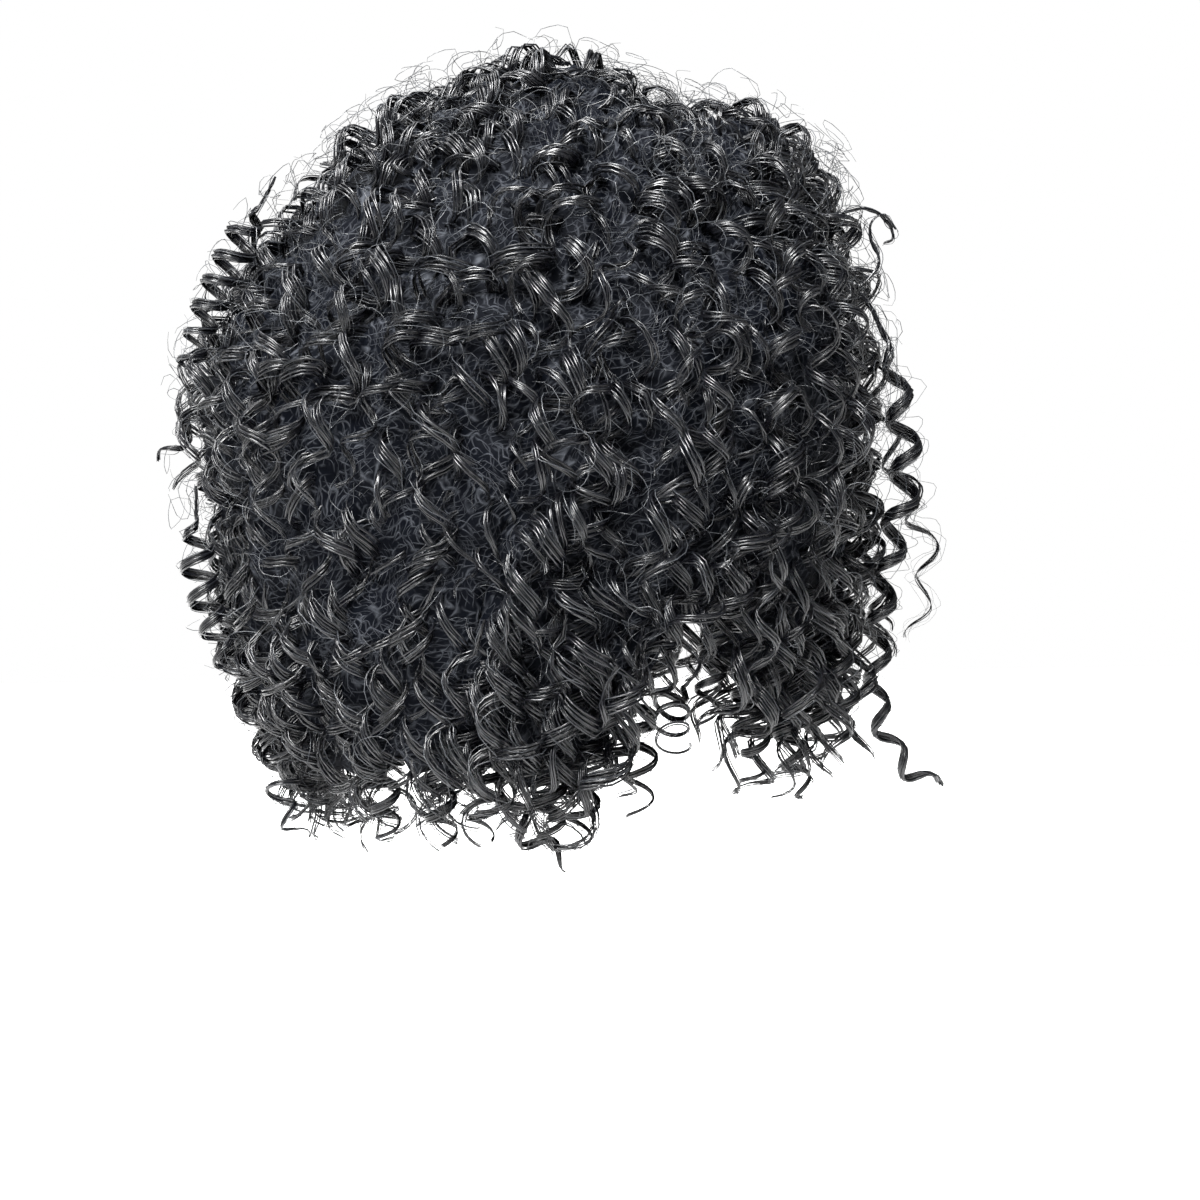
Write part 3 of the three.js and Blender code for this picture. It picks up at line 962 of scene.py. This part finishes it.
@dataclass(frozen=True)
class HairSection:
    """One section of the hair: under-hair on the cap, rows of corkscrew locks, and loose frizz.

    Lengths are in millimetres, falls are shares from the whorl to the hem.
    """

    name: str
    top: float
    hem: float
    start: float
    end: float
    first_root: float
    last_root: float
    coil: tuple = (5.5, 9.5)
    pitch: tuple = (21.0, 34.0)
    length: tuple = (66.0, 96.0)
    shortest: float = 0.12
    tip_spread: float = 0.012
    bands: tuple = (0.5, 1.15)
    spacing: float = 16.5
    place_jitter: float = 0.3  # of the spacing
    root_jitter: tuple = (-0.015, 0.02)
    row: float = 34.0
    sunk: tuple = (-9.0, 1.0)
    flare: tuple = (-4.0, 7.0)
    swing: float = 18.0
    weave: float = 3.0
    weave_rate: tuple = (3, 7)
    weave_start: tuple = (0, 6)
    left_hand: float = 0.7  # share of the locks
    frizz: int = 300
    frizz_curl: tuple = (4.0, 11.0)
    frizz_turn: tuple = (2.5, 7.5)  # radians
    frizz_rise: tuple = (0.5, 3.5)  # for each radian
    frizz_out: float = 6.0
    frizz_out_share: tuple = (0.3, 1.0)
    frizz_give: float = 0.25  # share of the way past its limit that a hair keeps
    frizz_depth: tuple = (-2.0, 14.0)
    root_share: float = 0.45  # of the room over the cap that is under the roots
    root_hang: float = 26.0
    hang: tuple = ()  # depths of the rings of locks that hang inside the hem
    hang_from: float = 0.8
    hang_spacing: float = 15.0
    hang_jitter: float = 0.35  # of the spacing
    hang_root_jitter: float = 0.03
    hang_tip_spread: float = 0.015
    hang_depth_jitter: float = 5.0
    hang_lean: float = 6.0
    under_depth: float = 18.0
    under_wall: float = 10.0
    under_short: float = 0.05
    under_ragged: float = 0.012
    under_clear: float = 2.0  # degrees that it keeps from the notches
    under_cell: float = 6.0
    lump: float = 3.5

    @property
    def wraps(self) -> bool:
        """Tells whether the section goes all the way round."""
        return self.end - self.start >= 360

    def lock(self, fall: float, around: float, rng: np.random.Generator) -> Guide:
        """Lays one lock over the outside, from its root to its tip.

        Args:
            fall: Share of the fall at the root.
            around: Degrees around at the root.
            rng: Source of the lock's own sizes.

        Returns:
            The lock's guide.
        """
        coil = rng.uniform(*self.coil)
        t = np.linspace(0, 1, 16)
        tip = fall + rng.uniform(*self.length) / FORM.arc(fall, around)
        tip = min(tip, float(FORM.end(around)) + rng.normal(0, self.tip_spread))
        falls = fall + t * (tip - fall)
        arounds = self.swayed(falls, around, rng)
        hang = FORM.hangs(falls, arounds)
        roots = (1 - self.root_share) * FORM.room(falls, arounds) * (1 - hang) + self.root_hang * hang
        surface = coil - rng.uniform(*self.sunk) - rng.uniform(*self.flare) * smooth(0.5, 1, t)
        depths = roots + (surface - roots) * smooth(0, 0.3, t)
        return Guide.along(FORM.sunk(falls, arounds, depths), FORM.way(falls, arounds), self.twist(coil, rng))

    def swayed(self, falls: np.ndarray, around: float, rng: np.random.Generator) -> np.ndarray:
        """Gives the degrees around along a lock that drifts to one side and weaves a little."""
        t = np.linspace(0, 1, len(falls))
        drift = rng.normal(0, self.swing) * t
        waves = t * rng.uniform(*self.weave_rate) + rng.uniform(*self.weave_start)
        drift = drift + self.weave * np.sin(waves)
        side = FORM.outer(falls, around) * np.maximum(np.sin(np.radians(falls * 140)), 0.25)
        return around + np.degrees(drift / side)

    def twist(self, coil: float, rng: np.random.Generator) -> Twist:
        """Draws how a lock of a given coil turns."""
        return Twist(
            coil=coil,
            pitch=rng.uniform(*self.pitch),
            phase=rng.uniform(0, 2 * math.pi),
            hand=Hand.LEFT if rng.uniform() < self.left_hand else Hand.RIGHT,
            band=rng.uniform(*self.bands),
        )

    def locks(self, rng: np.random.Generator) -> list[Guide]:
        """Lays rows of locks from the top down, each row set between the locks above."""
        guides, row, fall = [], 0, self.first_root
        middle = (self.start + self.end) / 2
        while fall < self.last_root:
            count = max(1, round(FORM.girth(fall + 0.02, self.start, self.end) / self.spacing))
            for k in range(count):
                jitter = rng.uniform(-self.place_jitter, self.place_jitter)
                place = (k + 0.25 + 0.5 * (row % 2) + jitter) / count
                around = self.start + place * (self.end - self.start)
                root = fall + rng.uniform(*self.root_jitter)
                if root < FORM.end(around) - self.shortest:
                    guides.append(self.lock(root, around, rng))
            fall += self.row / FORM.arc(fall, middle)
            row += 1
        return guides

    def hanging(self, depth: float, rng: np.random.Generator) -> list[Guide]:
        """Lays a ring of locks inside the hair, which hang down to the hem.

        Args:
            depth: Depth under the outside where they hang.
            rng: Source of the locks' places and sizes.

        Returns:
            The locks' guides.
        """
        guides = []
        t = np.linspace(0, 1, 12)
        count = round(FORM.girth(self.hang_from, self.start, self.end) / self.hang_spacing)
        for k in range(count):
            place = (k + 0.5 + rng.uniform(-self.hang_jitter, self.hang_jitter)) / count
            around = self.start + place * (self.end - self.start)
            tip = float(FORM.end(around)) + rng.normal(0, self.hang_tip_spread)
            jitter = rng.uniform(-self.hang_root_jitter, self.hang_root_jitter)
            root = min(self.hang_from + jitter, tip - self.shortest)
            falls = root + t * (tip - root)
            arounds = self.swayed(falls, around, rng)
            level = depth + rng.uniform(-self.hang_depth_jitter, self.hang_depth_jitter)
            depths = level + rng.normal(0, self.hang_lean) * t**2
            twist = self.twist(rng.uniform(*self.coil), rng)
            guides.append(Guide.along(FORM.sunk(falls, arounds, depths), FORM.way(falls, arounds), twist))
        return guides

    def frizz_hairs(self, rng: np.random.Generator) -> list[Guide]:
        """Curls single hairs at random over the outside."""
        guides = []
        middle = np.array(FORM.middle)
        twist = Twist(coil=0.0, pitch=12.0, taper=0.5)
        for _ in range(self.frizz):
            around = rng.uniform(self.start, self.end)
            fall = rng.uniform(self.top, min(self.hem, float(FORM.end(around))))
            outer = float(FORM.outer(fall, around))
            start = FORM.sunk(fall, around, rng.uniform(*self.frizz_depth))
            axes = np.linalg.qr(rng.normal(size=(3, 3)))[0]
            curl = rng.uniform(*self.frizz_curl)
            angle = np.linspace(0, rng.uniform(*self.frizz_turn), 24)
            rise = angle * rng.uniform(*self.frizz_rise)
            loop = np.stack([curl * (np.cos(angle) - 1), curl * np.sin(angle), rise], -1)
            path = start + loop @ axes
            ray = path - middle
            far = np.linalg.norm(ray, axis=1)
            limit = outer + rng.uniform(*self.frizz_out_share) * self.frizz_out
            held = np.minimum(far, limit + self.frizz_give * (far - limit))
            path = middle + ray * (held / far)[:, None]
            guides.append(Guide.along(path, unit(ray), twist, per_turn=3))
        return guides

    def under(self) -> bpy.types.Object:
        """Makes the wall of tangled hair under the locks, with lumps where the locks press in.

        The edge and the lumps are waves around and down that have no period in common.
        """
        rows = max(4, round((self.hem - self.top) * FORM.arc(0.5, self.start) / self.under_cell))
        columns = max(6, round(FORM.girth(0.5, self.start, self.end) / self.under_cell))
        around = np.linspace(self.start, self.end, columns, endpoint=not self.wraps)
        share, arounds = np.meshgrid(np.linspace(0, 1, rows), around, indexing="ij")
        turn = np.radians(arounds)
        ragged = self.under_short + self.under_ragged * np.sin(37 * turn + 3 * np.sin(9 * turn))
        beside = [FORM.end(arounds + step * self.under_clear) for step in (-1, 0, 1)]
        falls = self.top + share * (np.minimum(self.hem, np.min(beside, axis=0) - ragged) - self.top)
        waves = np.sin(19 * turn + 2 * np.sin(falls * 37)) * np.sin(falls * 61 + np.sin(11 * turn))
        ripple = np.sin(43 * turn + 3 * np.sin(falls * 51)) * np.sin(falls * 140 + 2 * np.sin(17 * turn))
        room = FORM.room(falls, arounds) - 0.5
        wall = self.under_depth + self.under_wall
        depth = room + (wall - room) * FORM.hangs(falls, arounds)
        hollow = np.minimum(self.under_depth + self.lump * (waves + 0.5 * ripple), depth - 2.0)
        outside = FORM.sunk(falls, arounds, hollow)
        inside = FORM.sunk(falls, arounds, depth)
        return shell_object(f"{self.name}_under", outside, inside, self.wraps)

    def build(
        self, tree: StrandTree, finishes: Finishes, rng: np.random.Generator, extra: list[Guide]
    ) -> list[tuple[bpy.types.Object, bpy.types.Material]]:
        """Makes the section's meshes.

        Args:
            tree: Tree that grows the strands.
            finishes: Finishes of the hair.
            rng: Source of the section's variety.
            extra: Guides of ringlets that spring from this section.

        Returns:
            Pairs of a piece and its finish: locks, locks inside the hem, frizz and under-hair.
        """
        locks = self.locks(rng)
        inside = [guide for depth in self.hang for guide in self.hanging(depth, rng)]
        growths = [(locks, RIBBONS)] + ([(extra, RINGLETS)] if extra else [])
        strands = tree.dressed(f"{self.name}_locks", growths, finishes.lock)
        pieces = [(strands, finishes.lock)]
        if inside:
            hem = tree.dressed(f"{self.name}_hem", [(inside, RIBBONS)], finishes.lock)
            pieces.append((hem, finishes.lock))
        singles = [(locks + inside + extra, STRAYS), (self.frizz_hairs(rng), FRIZZ)]
        pieces.append((tree.dressed(f"{self.name}_frizz", singles, finishes.single), finishes.single))
        return pieces + [(self.under(), finishes.tangle)]


SECTIONS = (
    HairSection(
        "hair_crown",
        top=0.0,
        hem=0.25,
        start=0,
        end=360,
        first_root=-0.05,
        last_root=0.2,
        spacing=15,
        row=21,
        length=(50, 80),
        sunk=(-12, -3),
        flare=(-3, 3),
        root_share=0.65,
        frizz=220,
        frizz_out=1.0,
        frizz_depth=(3.0, 16.0),
    ),
    HairSection(
        "hair_back",
        top=0.22,
        hem=0.6,
        start=-80,
        end=80,
        first_root=0.22,
        last_root=0.6,
        sunk=(-11, -1),
        flare=(-6, 7),
        frizz=520,
    ),
    HairSection(
        "hair_nape",
        top=0.58,
        hem=1.0,
        start=-80,
        end=80,
        first_root=0.66,
        last_root=0.9,
        sunk=(-16, -6),
        flare=(-10, 3),
        hang=(16, 29),
        frizz=420,
        frizz_depth=(4.0, 18.0),
    ),
    HairSection(
        "hair_side_right",
        top=0.22,
        hem=1.0,
        start=-158,
        end=-80,
        first_root=0.22,
        last_root=0.88,
        spacing=15,
        hang=(4, 14, 29),
        frizz=560,
    ),
    HairSection(
        "hair_side_left",
        top=0.22,
        hem=1.0,
        start=80,
        end=158,
        first_root=0.22,
        last_root=0.88,
        hang=(10, 29),
        frizz=380,
    ),
    HairSection(
        "hair_fringe",
        top=0.22,
        hem=0.5,
        start=158,
        end=202,
        first_root=0.22,
        last_root=0.44,
        frizz=140,
    ),
)


@dataclass(frozen=True)
class Ringlet:
    """Loose ringlet along its own line, in millimetres and shares of its length."""

    POINTS = 60
    PER_TURN = 14
    FACING = (-0.6, -0.8, 0.0)

    name: str
    line: tuple
    coil: float
    turns: float
    tip: float = 0.7
    opens: tuple = (0.12, 0.3)
    phase: float = 0.0
    hand: Hand = Hand.RIGHT
    band: float = 0.8
    taper: float = 0.6

    def guide(self) -> Guide:
        """Lays the ringlet's guide along a smooth line through its points."""
        knots = np.array(self.line, float)
        t = np.linspace(0, len(knots) - 1, self.POINTS)
        ends = np.concatenate([[2 * knots[0] - knots[1]], knots, [2 * knots[-1] - knots[-2]]])
        i = np.clip(t.astype(int), 0, len(knots) - 2)
        u = (t - i)[:, None]
        a, b, c, d = ends[i], ends[i + 1], ends[i + 2], ends[i + 3]
        bend = (2 * a - 5 * b + 4 * c - d) * u**2
        path = 0.5 * (2 * b + (c - a) * u + bend + (3 * b - a - 3 * c + d) * u**3)
        length = np.linalg.norm(np.diff(path, axis=0), axis=1).sum()
        facing = np.tile(self.FACING, (self.POINTS, 1))
        pitch = length / self.turns
        twist = Twist(self.coil, pitch, self.phase, self.hand, self.opens, self.tip, self.taper, self.band)
        return Guide.along(path, facing, twist, self.PER_TURN)


@dataclass(frozen=True)
class Tendril:
    """Long ringlet that hangs in front of a curtain, with a halo of single hairs."""

    ringlet: Ringlet
    sizes: StrandSizes

    @property
    def name(self) -> str:
        """Gives the name of the node that it stands for."""
        return self.ringlet.name

    def build(
        self, tree: StrandTree, finishes: Finishes
    ) -> list[tuple[bpy.types.Object, bpy.types.Material]]:
        """Makes the tendril's meshes.

        Args:
            tree: Tree that grows the strands.
            finishes: Finishes of the hair.

        Returns:
            Pairs of a piece and its finish: strands and frizz.
        """
        line = [self.ringlet.guide()]
        strands = tree.dressed(f"{self.name}_strands", [(line, self.sizes)], finishes.lock)
        halo = tree.dressed(f"{self.name}_frizz", [(line, HALO)], finishes.single)
        return [(strands, finishes.lock), (halo, finishes.single)]


TENDRILS = (
    Tendril(
        Ringlet(
            "tendril_right",
            (
                (-48, -86, -62),
                (-49, -104, -70),
                (-51, -115, -92),
                (-53, -122, -128),
                (-54, -122, -152),
                (-55, -115, -182),
                (-56, -111, -214),
                (-57, -112, -246),
                (-58, -124, -268),
                (-58, -136, -276),
            ),
            coil=6.0,
            turns=11,
            band=1.0,
            taper=0.3,
        ),
        StrandSizes(
            strands=8, sides=4, width=1.9, thickness=1.6, band=5.0, wander=1.4, lag=0.12, swell=0.08
        ),
    ),
    Tendril(
        Ringlet(
            "tendril_right_thin",
            (
                (-34, -92, -60),
                (-34, -107, -90),
                (-34, -118, -130),
                (-35, -130, -160),
                (-35, -136, -184),
                (-36, -130, -216),
            ),
            coil=6.0,
            turns=6.5,
            band=1.0,
        ),
        StrandSizes(
            strands=3, sides=4, width=1.0, thickness=0.8, band=1.6, wander=1.0, lag=0.12, swell=0.08
        ),
    ),
)

LOOSE = {
    # Section to the short ringlets that stand out of it
    "hair_back": (
        Ringlet("back", ((-20, 158, -104), (-20, 171, -122), (-20, 187, -139)), coil=4.5, turns=2.6),
        Ringlet(
            "edge_high",
            ((-22, 138, -22), (-22, 156, -55), (-22, 168, -80), (-22, 176, -104)),
            coil=7.5,
            turns=8,
        ),
    ),
    "hair_nape": (
        Ringlet(
            "edge_low",
            ((-26, 172, -150), (-28, 172, -180), (-32, 166, -206), (-36, 158, -228)),
            coil=7.0,
            turns=6,
        ),
        Ringlet(
            "hem_back",
            ((-60, 131, -254), (-64, 139, -274), (-66, 130, -292)),
            coil=6.0,
            turns=3,
            band=0.4,
        ),
        Ringlet(
            "hem_left",
            ((-84, 102, -246), (-86, 100, -262), (-86, 97, -273), (-84, 96, -288)),
            coil=7.0,
            turns=3.4,
        ),
        Ringlet(
            "hem_gap",
            ((-96, 78, -244), (-98, 77, -260), (-98, 76, -271), (-96, 73, -288)),
            coil=7.5,
            turns=3.2,
        ),
    ),
    "hair_side_right": (
        Ringlet("hem_side", ((-100, 54, -262), (-104, 40, -284), (-106, 23, -296)), coil=6.0, turns=2.4),
        Ringlet(
            "hem_near",
            ((-100, 55, -246), (-102, 57, -262), (-102, 58, -273), (-100, 59, -286)),
            coil=7.5,
            turns=3,
        ),
        Ringlet(
            "hem_front",
            ((-112, 14, -230), (-109, 15, -256), (-108, 18, -270), (-106, 20, -286)),
            coil=7.5,
            turns=4,
        ),
        Ringlet("hem_middle", ((-112, 36, -236), (-110, 33, -262), (-108, 31, -290)), coil=7.5, turns=3.8),
        Ringlet(
            "ear",
            ((-112, 0, -205), (-114, -2, -228), (-115, -4, -250), (-113, -4, -276)),
            coil=7.5,
            turns=4.4,
        ),
        Ringlet(
            "ear_rings",
            ((-106, -32, -204), (-107, -28, -218), (-104, -19, -230), (-112, -17, -238), (-122, -17, -247)),
            coil=7.5,
            turns=6,
            opens=(0.4, 0.55),
            tip=0.9,
            band=0.6,
        ),
        Ringlet(
            "ear_far",
            ((-104, -36, -188), (-104, -36, -206), (-106, -33, -224), (-105, -32, -240)),
            coil=6.5,
            turns=3.3,
        ),
        Ringlet(
            "curtain",
            ((-104, -51, -212), (-106, -49, -237), (-106, -52, -249), (-104, -51, -265)),
            coil=7.0,
            turns=4.5,
        ),
        Ringlet(
            "curtain_low",
            ((-98, -66, -226), (-98, -67, -250), (-97, -71, -263), (-96, -75, -273)),
            coil=6.0,
            turns=3.6,
        ),
        Ringlet(
            "curtain_edge",
            ((-86, -84, -206), (-88, -90, -226), (-86, -91, -248)),
            coil=7.0,
            turns=3.2,
        ),
        Ringlet(
            "edge",
            ((-66, -90, -120), (-66, -99, -145), (-66, -101, -170), (-66, -97, -200), (-66, -97, -236)),
            coil=7.5,
            turns=5.5,
        ),
        Ringlet(
            "cheek",
            ((-60, -92, -110), (-62, -104, -150), (-60, -108, -181), (-57, -113, -209)),
            coil=6.0,
            turns=6,
        ),
    ),
    "hair_fringe": (
        Ringlet(
            "brow",
            (
                (-44, -92, -38),
                (-43, -100, -35),
                (-41, -110, -35),
                (-39, -117, -40),
                (-38, -119, -46),
                (-38, -116, -48),
            ),
            coil=0.5,
            turns=2.0,
            taper=0.3,
        ),
        Ringlet(
            "brow_hook",
            (
                (-50, -94, -76),
                (-46, -109, -62),
                (-44, -112, -56),
                (-44, -109, -48),
                (-43, -109, -41),
                (-42, -114, -37),
                (-40, -119, -42),
            ),
            coil=0.5,
            turns=2.0,
            taper=0.3,
        ),
    ),
}


@dataclass(frozen=True)
class Cap:
    """Open cap of stretch net, cut to a shaped rim."""

    hollow: tuple = (77.0, 97.0, 95.0)  # half axes of the cap's inside
    wall: float = 1.6
    columns: int = 72
    rows: int = 26
    fine: int = 400  # steps in which the rim is looked for
    rim: tuple = (
        # y, z
        (-120, -54),
        (-84, -60),
        (-62, -76),
        (-40, -100),
        (-22, -104),
        (2, -90),
        (24, -104),
        (48, -140),
        (76, -158),
        (120, -162),
    )

    def grid(self, grow: float) -> np.ndarray:
        """Gives points on the hollow's form grown outwards, in rows from the top down to the rim."""
        table = np.array(self.rim, float)
        axes = np.array(self.hollow) + grow
        around = np.linspace(0, 2 * math.pi, self.columns, endpoint=False)
        down = np.linspace(0, math.pi, self.fine)
        spread, level = np.sin(down), np.cos(down)
        rows = []
        for a in around:
            y = axes[1] * spread * math.cos(a)
            z = axes[2] * level - self.hollow[2]
            end = down[np.argmax(z < np.interp(y, table[:, 0], table[:, 1]))]
            d = np.linspace(0, end, self.rows)
            shape = np.stack([np.sin(d) * math.sin(a), np.sin(d) * math.cos(a), np.cos(d)], -1)
            rows.append(axes * shape - (0.0, 0.0, self.hollow[2]))
        return np.stack(rows, 1)

    def build(self) -> tuple[bpy.types.Object, bpy.types.Material]:
        """Makes the cap's wall, with its finish."""
        return shell_object("cap_shell", self.grid(self.wall), self.grid(0.0), True), CapNet().material()


@dataclass(frozen=True)
class Studio:
    """White sweep, soft lights and the camera, in metres and degrees."""

    floor: float = -0.451
    floor_reach: float = 1.5
    floor_roughness: float = 0.9
    floor_glow: float = 0.55
    white: str = "f4f4f4"
    azimuth: float = 264.0
    elevation: float = 7.0
    distance: float = 1.6
    target: tuple = (0.0, 0.0, -0.202)
    view_width: float = 0.516
    sensor: float = 36.0
    ambient: float = 0.24
    light_size: float = 0.8
    lights: tuple = (
        # name, place, watts
        ("key", (-0.7, 0.45, 1.12), 182.0),
        ("fill", (-1.3, 0.7, 0.2), 6.0),
        ("rim", (0.7, 0.6, 0.9), 20.0),
    )

    def build(self) -> None:
        """Sets up the sweep, the lights and the camera."""
        self._sweep()
        for name, place, power in self.lights:
            self._light(name, place, power)
        world = bpy.data.worlds.new("studio")
        world.use_nodes = True
        self._surround(world.node_tree)
        scene = bpy.context.scene
        scene.world = world
        scene.view_settings.view_transform = "Standard"
        self._camera()

    def _surround(self, tree: bpy.types.NodeTree) -> None:
        """Makes a white surround that shines less than it shows, so that shadows stay deep."""
        seen = add_node(tree, "ShaderNodeLightPath").outputs["Is Camera Ray"]
        strength = add_node(
            tree, "ShaderNodeMapRange", {"Value": seen, "To Min": self.ambient, "To Max": 1.0}
        )
        background = tree.nodes["Background"]
        background.inputs["Color"].default_value = linear("ffffff")
        tree.links.new(strength.outputs["Result"], background.inputs["Strength"])

    def _sweep(self) -> None:
        """Makes the pale floor."""
        floor = bpy.data.meshes.new("floor")
        side = self.floor_reach
        corners = [(x * side, y * side, self.floor) for x, y in ((-1, -1), (1, -1), (1, 1), (-1, 1))]
        floor.from_pydata(corners, [], [(0, 1, 2, 3)])
        piece = bpy.data.objects.new("floor", floor)
        material, _, shader = new_material("pale_paper")
        shader.inputs["Base Color"].default_value = linear(self.white)
        shader.inputs["Roughness"].default_value = self.floor_roughness
        shader.inputs["Emission Color"].default_value = linear(self.white)
        shader.inputs["Emission Strength"].default_value = self.floor_glow
        floor.materials.append(material)
        bpy.context.scene.collection.objects.link(piece)

    def _light(self, name: str, place: tuple, power: float) -> None:
        """Adds a soft square light that faces the wig."""
        lamp = bpy.data.lights.new(name, "AREA")
        lamp.size = self.light_size
        lamp.energy = power
        holder = bpy.data.objects.new(name, lamp)
        holder.location = place
        aim = Vector(self.target) - Vector(place)
        holder.rotation_euler = aim.to_track_quat("-Z", "Y").to_euler()
        bpy.context.scene.collection.objects.link(holder)

    def _camera(self) -> None:
        """Places the camera at the photograph's angle."""
        lens = bpy.data.cameras.new("camera")
        lens.sensor_width = self.sensor
        lens.lens = self.sensor * self.distance / self.view_width
        holder = bpy.data.objects.new("camera", lens)
        azimuth, elevation = math.radians(self.azimuth), math.radians(self.elevation)
        level = math.cos(elevation)
        way = Vector((math.sin(azimuth) * level, -math.cos(azimuth) * level, math.sin(elevation)))
        holder.location = Vector(self.target) + way * self.distance
        holder.rotation_euler = (-way).to_track_quat("-Z", "Y").to_euler()
        bpy.context.scene.collection.objects.link(holder)
        bpy.context.scene.camera = holder


def declare(piece: bpy.types.Object, slot: Slot, material: bpy.types.Material, *nodes: str) -> None:
    """Dresses a piece, attaches it, hides the CAD nodes that it replaces and logs it.

    Args:
        piece: Finished piece.
        slot: Material slot of the record; not used.
        material: Finish.
        nodes: CAD nodes that it replaces.
    """
    piece.data.materials.clear()
    piece.data.materials.append(material)
    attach(piece, BODY)
    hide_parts(*nodes)
    triangles = sum(len(face.vertices) - 2 for face in piece.data.polygons)
    LOG.info("%s: %d triangles", piece.name, triangles)


def main() -> None:
    """Builds and dresses every piece, then sets up the studio."""
    logging.basicConfig(level=logging.INFO, format="%(name)s: %(message)s")
    rng = np.random.default_rng(SEED)
    tree = StrandTree()
    finishes = Finishes()
    shell, net = Cap().build()
    declare(shell, Slot.CAP, net, "cap")
    for section in SECTIONS:
        extra = [ringlet.guide() for ringlet in LOOSE.get(section.name, ())]
        for piece, finish in section.build(tree, finishes, rng, extra):
            declare(piece, Slot.HAIR, finish, section.name)
    for tendril in TENDRILS:
        for piece, finish in tendril.build(tree, finishes):
            declare(piece, Slot.HAIR, finish, tendril.name)
    Studio().build()


if __name__ == "__main__":
    main()
